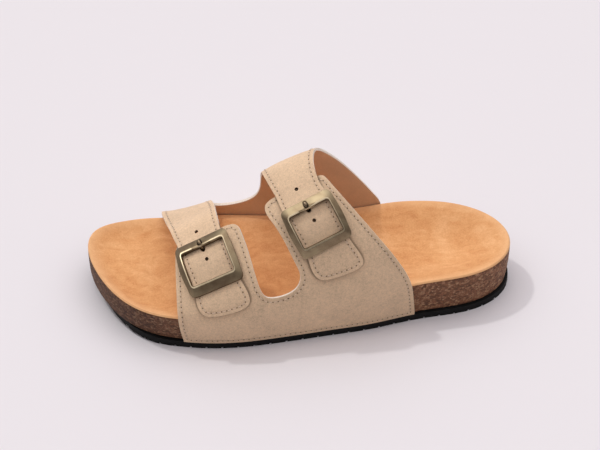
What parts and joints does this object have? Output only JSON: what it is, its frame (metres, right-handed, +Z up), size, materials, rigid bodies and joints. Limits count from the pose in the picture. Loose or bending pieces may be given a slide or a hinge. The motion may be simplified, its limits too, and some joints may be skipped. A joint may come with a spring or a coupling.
{
  "type": "two-strap cork footbed sandal",
  "caption": "Left two-strap slide sandal with a cork footbed, suede insole, nubuck upper, black rubber outsole and two square metal buckles.",
  "frame": {"origin": "on the floor, under the middle of the shoe's bounding box", "axes": "+X towards the heel and -X towards the toe, +Y towards the inner (medial) side, +Z up from the floor"},
  "size_m": [0.252, 0.0972, 0.0948],
  "materials": {
    "outsole_rubber": "matte black, slightly scuffed",
    "cork": "fine dark speckled cork, lightly sealed",
    "footbed_suede": "orange tan suede with a soft nap",
    "upper_nubuck": "taupe nubuck with stitched edges and a smooth tan lining",
    "buckle_metal": "antique brass, satin"
  },
  "bodies": {
    "root": {"outsole": "outsole_rubber", "cork_midsole": "cork", "insole": "footbed_suede", "upper_lateral": "upper_nubuck", "upper_medial": "upper_nubuck", "buckle_frame_front": "buckle_metal", "buckle_pin_front": "buckle_metal", "buckle_frame_rear": "buckle_metal", "buckle_pin_rear": "buckle_metal"}
  },
  "joints": []
}
